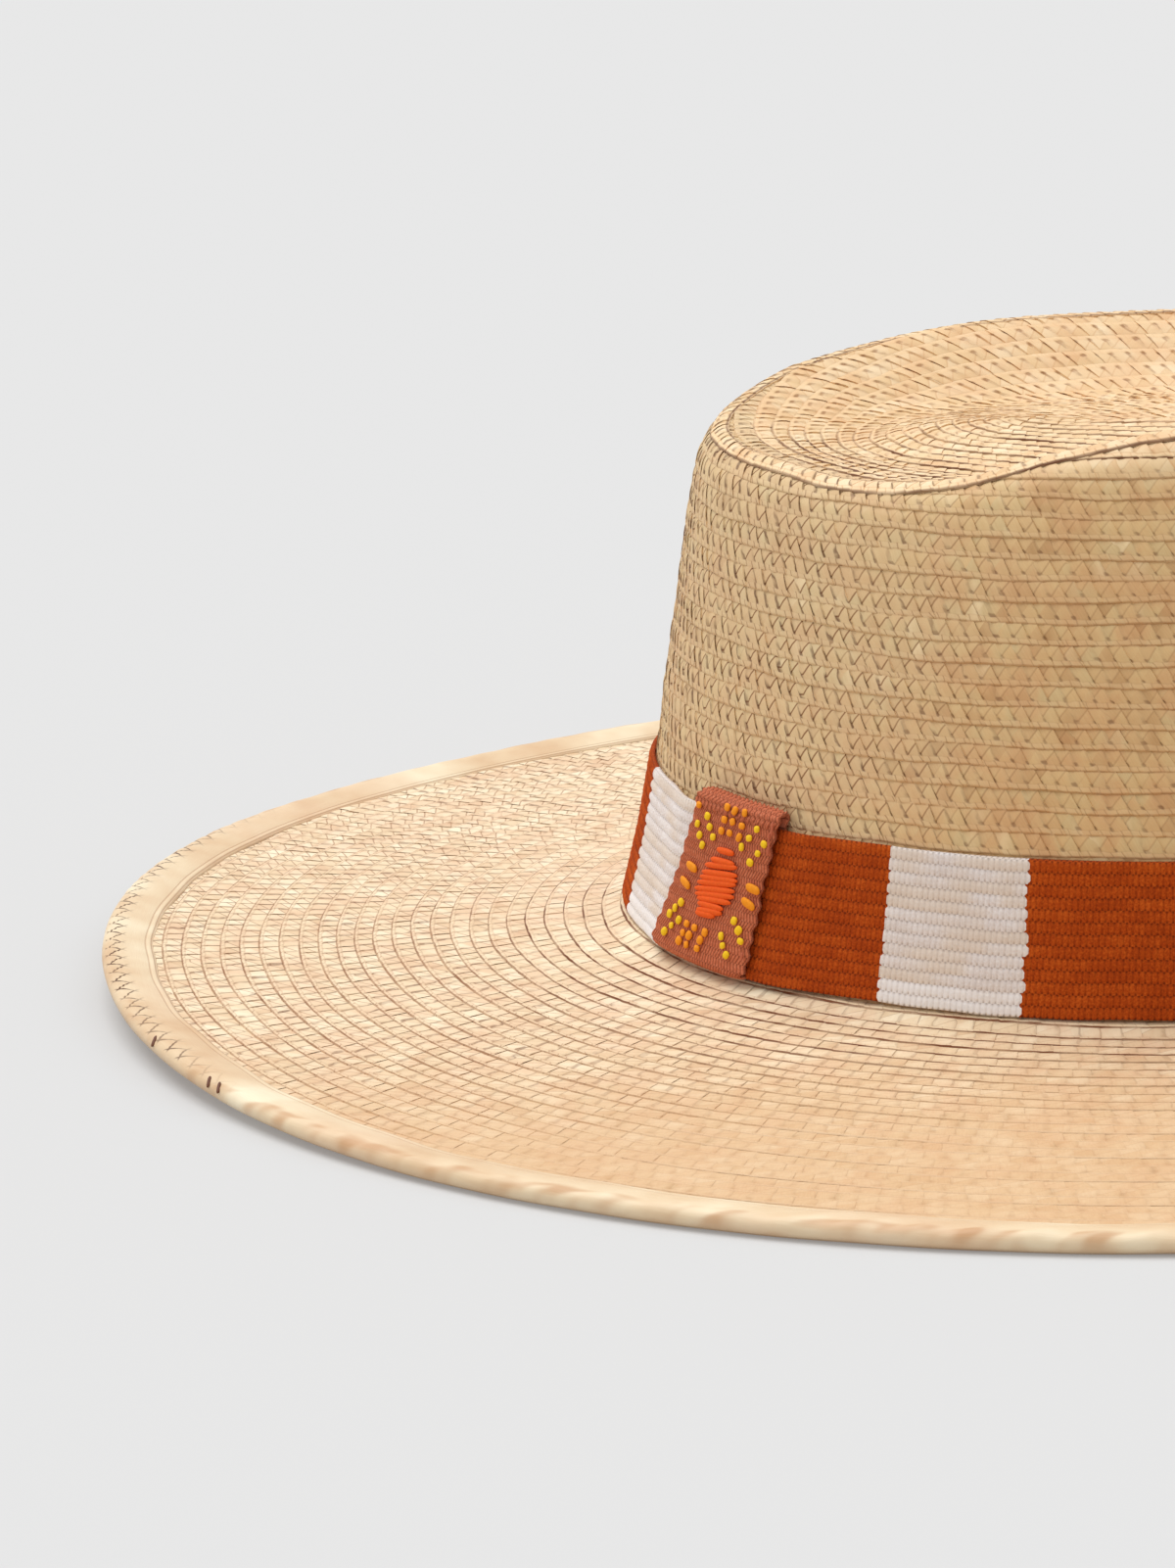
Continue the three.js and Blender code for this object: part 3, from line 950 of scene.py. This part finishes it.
band = {
    "low": 1.0,
    "high": 26.9,
    "ribs": 13,
    "ribSteps": (0.0, 0.2, 0.5, 0.8),
    "stitches": 576,
    "stitchSteps": 2,
    "gap": 0.3,
    "wall": 0.78,
    "ribHeight": 0.11,
    "stitchHeight": 0.2,
    "repeats": 8,  # steps from the first white stripe to the last, counted from the keeper
    "whiteFrom": 237.3,  # degrees round the crown
    "whiteLast": 190.8,
    "whiteLength": 25.6,
    "orange": ((0.0, (150, 54, 4)), (0.5, (177, 70, 8)), (1.0, (204, 94, 24))),
    # the pit colours are painted shade in the pits between stitches and the valleys between ribs
    "orangePitShade": (98, 30, 0),
    "white": ((0.0, (223, 212, 207)), (0.5, (235, 227, 225)), (1.0, (244, 240, 240))),
    "whitePitShade": (166, 149, 138),
    "beige": (227, 207, 184),
    "edgeWhite": (248, 245, 246),
    "surface": (0.6, 0.3, 0.9, 0.2),
}

keeper = {
    "angle": 215.7,
    "width": 24.2,
    "lean": 6.2,
    "fan": 2.6,  # the left side leans this much more and the right side this much less
    "shift": -0.9,
    "tiltLow": 0.03,  # drop of the rows for each millimetre to the right, at the foot and at the top
    "tiltHigh": 0.02,
    "low": 0.9,
    "high": 30.4,
    "near": 0.3,
    "far": 4.3,
    "wall": 0.95,
    "fold": 1.7,
    "ease": 12.0,
    "rowPitch": 1.45,
    "stitch": 0.64,
    "ribHeight": 0.04,
    "stitchHeight": 0.12,
    "scallop": 0.5,
    "ropeWidth": 3.0,  # height of the twisted rows along the top
    "cloth": ((0.0, (180, 94, 62)), (0.5, (203, 113, 80)), (1.0, (221, 138, 104))),
    # painted shade in the pits between stitches and the valleys between rows
    "pit": (104, 46, 26),
    "surface": (0.6, 0.25, 0.92, 0.2),
}


def offWall(angle, height, distance):
    turn = np.radians(angle)
    where = height / ridgeHeight(angle)
    long = shape["crownHalfLength"] * np.interp(where, wallUp, wallLong)
    cross = shape["crownHalfWidth"] * np.interp(where, wallUp, wallCross)
    lift = shape["footHeight"] + endLift(angle, 0) + height
    point = np.stack([long * np.cos(turn), cross * np.sin(turn), lift], -1)
    out = unit(np.stack([np.cos(turn) / long, np.sin(turn) / cross, 0 * turn], -1))
    return point + out * distance[..., None]


middle = (band["low"] + band["high"]) / 2
wallAngles = np.linspace(0, 360, 2881)
wallLengths = pathLengths(offWall(wallAngles, np.full(2881, middle), np.full(2881, 1.6)))
perDegree = np.diff(np.interp([keeper["angle"], keeper["angle"] + 1], wallAngles, wallLengths))[0]


def smoothStep(value, start, end):
    t = np.clip((value - start) / (end - start), 0, 1)
    return t * t * (3 - 2 * t)


def keeperDrop(x, share):
    return (keeper["tiltLow"] + (keeper["tiltHigh"] - keeper["tiltLow"]) * share) * x


def addBand():
    look = band
    columns = look["stitches"] * look["stitchSteps"]
    stitch = np.arange(columns + 1)[:, None] / look["stitchSteps"]
    angle = np.interp(stitch / look["stitches"] * wallLengths[-1], wallLengths, wallAngles)
    steps = [rib + step for rib in range(look["ribs"]) for step in look["ribSteps"]]
    steps = np.array(steps + [look["ribs"]])
    bulge = np.sin(np.pi * np.mod(steps, 1)) ** 0.7
    parity = np.mod(np.floor(steps), 2) / 2
    turn = np.radians(angle)
    lift = look["wall"] + look["ribHeight"] * bulge
    lift = lift + look["stitchHeight"] * bulge * np.cos(2 * np.pi * (stitch + parity))
    random = np.random.RandomState(7)
    lift = lift + random.uniform(-0.04, 0.04, lift.shape) * bulge
    height = look["low"] + (look["high"] - look["low"]) * steps / look["ribs"] + 0 * turn
    height = height + 0.16 * np.sin(5 * turn + 1) + 0.1 * np.sin(14 * turn) + 0.06 * np.sin(43 * turn)
    x = (angle - keeper["angle"]) * perDegree
    footLeft = (keeper["lean"] + keeper["fan"]) / 2 - keeper["shift"] - 0.8
    footRight = (keeper["lean"] - keeper["fan"]) / 2 - keeper["shift"] + 0.8
    inKeeper = (x > -keeper["width"] / 2 - footLeft) & (x < keeper["width"] / 2 - footRight)
    lowest = keeper["low"] + keeper["wall"] + 0.3 - keeperDrop(x, 0)
    highest = keeper["high"] - keeper["wall"] - 0.3 - keeperDrop(x, 1)
    height = np.where(inKeeper, np.clip(height, lowest, highest), height)
    back = np.array([look["high"] - 0.1, look["low"] + 0.1]) + 0 * angle
    lift = np.concatenate([lift, 0 * back + 0.05], 1)
    height = np.concatenate([height, back], 1)
    flat = (keeper["width"] + keeper["lean"]) / 2 + look["gap"]
    standOff = 1 - smoothStep(np.abs(x), flat, flat + keeper["ease"])
    standOff = look["gap"] + (keeper["wall"] + 0.35) * standOff
    points = offWall(angle + 0 * height, height, standOff + lift)
    points = np.concatenate([points, points[:, :1]], 1)
    points[-1] = points[0]
    vs = np.concatenate([steps, [look["ribs"], 0, 0]]) + 0 * angle
    work = newWork()
    ringMesh(work, points, stitch + 0 * vs, vs)
    finishPiece("hatband_weave", work, bandMaterial(), ["hatband"])


def stitchParts(across, along, joined):
    row = calc("FLOOR", along)
    inStitch = calc("FRACT", across + calc("MODULO", row, 2.0) * 0.5)
    valley = near(toEdge(along - row), 0.0, 0.3)
    apart = near(calc("ABSOLUTE", inStitch - 0.5), 0.0, 0.32)
    return row, valley, apart * scaled(valley, 1 - joined, joined)


def bandMaterial():
    look = band
    material, across, along, place = newMaterial("woven_stripes")
    row, valley, pit = stitchParts(across, along, 0.25)
    fibre = noise(place, 2600)
    patch = noise(triple(across * 0.16, row * 1.7, 0.0), 1.0)
    tone = scaled(fibre, 1.6, scaled(patch, 1.2, -0.9))
    streak = noise(triple(across * 0.06, row * 2.3, 4.0), 1.0)
    white = blend(near(streak, 0.42, 0.56) * 0.5, ramp(tone, look["white"]), look["beige"])
    white = blend(calc("LESS_THAN", row, 1.5) * 0.7, white, look["edgeWhite"])
    # Painted shade: the valleys between ribs and the pits between stitches are darkened
    paintedPitShade = calc("MAXIMUM", valley * 0.12, pit)
    white = blend(paintedPitShade * 0.6, white, look["whitePitShade"])
    orange = blend(paintedPitShade * 0.85, ramp(tone, look["orange"]), look["orangePitShade"])

    # The stripes are counted on from the first white one, with ragged ends
    total = look["stitches"]
    cut, first, last = (np.interp(angle, wallAngles, wallLengths) / wallLengths[-1] * total
                        for angle in (keeper["angle"], look["whiteFrom"], look["whiteLast"]))
    period = (total + last - first) / look["repeats"]
    length = look["whiteLength"] / wallLengths[-1] * total
    ragged = scaled(valley, -0.45, 0.2) + scaled(chanceAt(row, 3.3, 0.5), 0.7, -0.35)
    beforeCut = calc("LESS_THAN", across, cut)
    phase = calc("FRACT", (across - first + beforeCut * total) / period)
    middleAway = calc("ABSOLUTE", phase * period - length / 2) - ragged
    isWhite = calc("LESS_THAN", middleAway, length / 2)
    lastWhite = calc("GREATER_THAN", across + ragged, last)
    isWhite = calc("MAXIMUM", isWhite, lastWhite * beforeCut)
    return finishMaterial(material, blend(isWhite, orange, white), fibre * 0.5 - pit, look)


addBand()

# Keeper: a ribbed cloth sleeve folded round the band, with a rope-like top edge

# Up the face, over the top, down the back and under the foot: height, distance and the way out
def sleevePath():
    low, high = keeper["low"] + keeper["fold"], keeper["high"] - keeper["fold"]
    deep = (keeper["far"] - keeper["near"]) / 2
    path = []

    def straight(first, last, distance, out):
        path.extend((height, distance, 0, out) for height in np.linspace(first, last, 400))

    def bend(middle, first):
        for turn in np.linspace(first, first + math.pi, 60):
            up, out = math.sin(turn), math.cos(turn)
            path.append((middle + keeper["fold"] * up, keeper["near"] + deep + deep * out, up, out))

    straight(low, high, keeper["far"], 1)
    bend(high, 0)
    straight(high, low, keeper["near"], -1)
    bend(low, math.pi)
    path = np.array(path)
    lengths = pathLengths(path[:, :2])
    rows = int(round(lengths[-1] / keeper["rowPitch"]))
    count = rows * 4
    wanted = np.arange(count + 1) / count * lengths[-1]
    read = [np.interp(wanted, lengths, column)[:, None] for column in path.T]
    return *read, wanted[:, None] / lengths[-1] * rows


def keeperPoint(x, height, distance):
    share = (height - keeper["low"]) / (keeper["high"] - keeper["low"])
    lean = (keeper["lean"] - keeper["fan"] * x * 2 / keeper["width"]) * (share - 0.5)
    angle = keeper["angle"] + (x + lean + keeper["shift"]) / perDegree
    return offWall(angle, height - keeperDrop(x, share), distance)


def addKeeper():
    look = keeper
    height, distance, up, out, rows = sleevePath()
    outer = np.linspace(-1, 1, int(look["width"] / look["stitch"] * 2) + 1)
    inner = np.linspace(1, -1, 7)
    side = np.concatenate([outer, inner, outer[:1]])
    isOuter = np.concatenate([np.ones(len(outer)), np.zeros(7), [1]])
    stitchIndex = np.concatenate([np.arange(len(outer)), np.zeros(7), [0]]) / 2
    inRow = rows - np.floor(rows)
    rib = np.sin(np.pi * inRow) ** 0.7
    rib[inRow < 0.01] = 0
    rope = np.clip((height - look["high"] + look["ropeWidth"]) / 0.3, 0, 1) * (out > -0.9)
    parity = np.mod(np.floor(rows), 2) / 2
    slant = stitchIndex * (1 - 0.5 * rope) + parity + rope * rows * 0.7
    ribs = look["ribHeight"] * (1 + 4 * rope) * rib
    stitches = look["stitchHeight"] * (1 + 1.4 * rope) * rib * np.cos(2 * np.pi * slant)
    random = np.random.RandomState(11)
    ribs = ribs + random.uniform(-0.03, 0.03, stitches.shape)
    offset = np.where(isOuter > 0, ribs + stitches - 0.25, -look["wall"])
    edge = np.abs(side) ** 8
    offset = offset - 0.3 * edge * isOuter
    scallop = look["scallop"] * (0.5 - 0.5 * np.cos(np.pi * rows))
    uneven = 0.25 * np.sin(rows * 0.37 + 1) + 0.14 * np.sin(rows * 1.1)
    x = side * (look["width"] / 2 - scallop + 0.1) + uneven * edge * np.sign(side)
    points = keeperPoint(x, height + up * offset, distance + out * offset)
    points[-1] = points[0]
    work = newWork()
    ringMesh(work, points, stitchIndex + 0 * x, rows + 0 * x)
    finishPiece("keeper_sleeve", work, keeperMaterial(), ["band_keeper"])


def keeperMaterial():
    look = keeper
    material, across, along, place = newMaterial("keeper_weave")
    _, valley, pit = stitchParts(across, along, 0.7)
    fibre = noise(place, 2600)
    # Painted shade: the valleys between rows and the pits between stitches are darkened
    paintedPitShade = calc("MAXIMUM", valley * 0.15, pit)
    colour = blend(paintedPitShade * 0.85, ramp(scaled(fibre, 1.6, -0.3), look["cloth"]), look["pit"])
    return finishMaterial(material, colour, fibre * 0.5 - pit, look)


addKeeper()

# Embroidery on the keeper's face: a lozenge of slanted strands, petals beside it and small dots

embroidery = {
    "centre": 15.5,
    "off": 4.5,
    "wide": (1.03, 2.0),  # the chart's x times the first, plus the second; then the same for its y
    "tall": (0.95, 1.45),
    "strandLeft": ((-2.9, 5.0), (-3.8, 3.0), (-4.9, 1.6), (-5.2, 0.2), (-5.4, -0.8), (-5.7, -1.9),
                   (-5.9, -3.1), (-5.4, -4.0), (-4.5, -4.6), (-3.9, -5.4), (-3.6, -6.5), (-3.6, -7.1)),
    "strandRight": ((1.7, 5.2), (2.5, 3.4), (3.3, 3.0), (3.9, 1.6), (4.2, 0.7), (4.1, 0.0),
                    (4.2, -1.2), (4.4, -2.2), (3.9, -3.4), (2.6, -4.9), (2.6, -5.7), (1.2, -6.6)),
    "petals": ((-8.3, 0.2), (-8.8, -3.0), (8.0, 0.2), (7.7, -2.6)),
    "yellowDots": (
        (-8.1, 10.0), (-10.4, 8.0), (-6.6, 8.3), (-8.8, 6.2), (-4.9, 6.8), (-7.2, 4.7),
        (5.8, 10.6), (4.4, 8.7), (3.1, 6.8), (8.3, 8.4), (7.3, 6.5), (6.0, 4.6),
        (-8.1, -6.6), (-9.2, -8.0), (-10.1, -9.4), (-7.1, -9.7), (-8.5, -11.2), (-9.8, -12.8),
        (5.7, -6.2), (7.2, -7.6), (3.9, -9.5), (8.2, -9.3), (4.8, -11.0), (6.1, -12.4),
    ),
    "orangeDots": (
        (-3.1, 12.8), (-0.8, 12.6), (1.9, 12.8), (-3.1, 10.5), (-0.8, 10.6), (1.9, 10.4),
        (-3.1, 8.4), (-0.8, 8.5), (1.9, 8.3), (-4.8, -9.7), (-2.6, -9.8), (0.1, -9.9),
        (-5.0, -11.5), (-3.3, -11.5), (-0.4, -11.5), (-5.3, -13.1), (-3.2, -13.2), (-0.5, -13.1),
        (-11.6, 11.3),
    ),
    # loose threads hanging along the right edge: place and length
    "frayed": ((9.3, 12.6, 2.6), (9.0, 10.6, 2.2), (9.4, 9.0, 2.4), (9.2, -11.0, 1.6)),
    "colours": ((244, 96, 6), (252, 160, 16), (254, 212, 22), (196, 106, 76)),
    "shades": ((150, 110, 90), (255, 245, 235)),
    "surface": (0.5, 0.2, 0.7, 0.3),
}


def addEmbroidery():
    look = embroidery
    work = newWork()
    random = np.random.RandomState(5)

    def onFace(x, y, off):
        x = x * look["wide"][0] + look["wide"][1]
        y = y * look["tall"][0] + look["tall"][1] + look["centre"]
        return Vector(keeperPoint(np.array([x]), np.array([y]), np.array([off]))[0])

    def stitch(first, second, wide, high, colour):
        start, end = onFace(*first, look["off"]), onFace(*second, look["off"])
        normal = (onFace(*first, look["off"] + 1) - start).normalized()
        addCapsule(work, start, end, normal, wide, high, ((colour + 0.5) / 4, 0.5))

    for left, right in zip(look["strandLeft"], look["strandRight"]):
        stitch(left, right, 0.62, 0.46, 0)
    for x, y in look["petals"]:
        lean = random.uniform(0.1, 0.5)
        stitch((x - 1.6, y + lean), (x + 1.6, y - lean), 0.85, 0.4, 1)
    for colour, dots in ((2, look["yellowDots"]), (1, look["orangeDots"])):
        for x, y in dots:
            long, lean = random.uniform(0.55, 0.75), random.uniform(-0.35, 0.35)
            stitch((x - lean, y - long), (x + lean, y + long), random.uniform(0.6, 0.76), 0.36, colour)
    for x, y, reach in look["frayed"]:
        stitch((x, y), (x + 0.3, y - reach), 0.24, 0.2, 3)
    finishPiece("keeper_embroidery", work, threadMaterial(), ["band_keeper"])


def threadMaterial():
    look = embroidery
    material, across, _, place = newMaterial("embroidery_thread")
    colours = ramp(across, [(i / 4, colour) for i, colour in enumerate(look["colours"])], "CONSTANT")
    fibre = noise(place, 2200)
    colour = blend(0.35, colours, blend(fibre, *look["shades"]), "MULTIPLY")
    return finishMaterial(material, colour, fibre, look)


addEmbroidery()

# Floor

def addFloor():
    work = bmesh.new()
    bmesh.ops.create_grid(work, x_segments=1, y_segments=1, size=light["floorSize"] * metres / 2)
    mesh = endWork(work, "floor")
    material = bpy.data.materials.new("pale_floor")
    material.use_nodes = True
    joinAll(material.node_tree.nodes["Principled BSDF"], {
        "Base Color": (*light["floor"], 1), "Emission Color": (1, 1, 1, 1),
        "Emission Strength": light["floorGlow"], "Roughness": 0.95, "Specular IOR Level": 0.0,
    })
    mesh.materials.append(material)
    floor = addObject("floor", mesh)


addFloor()
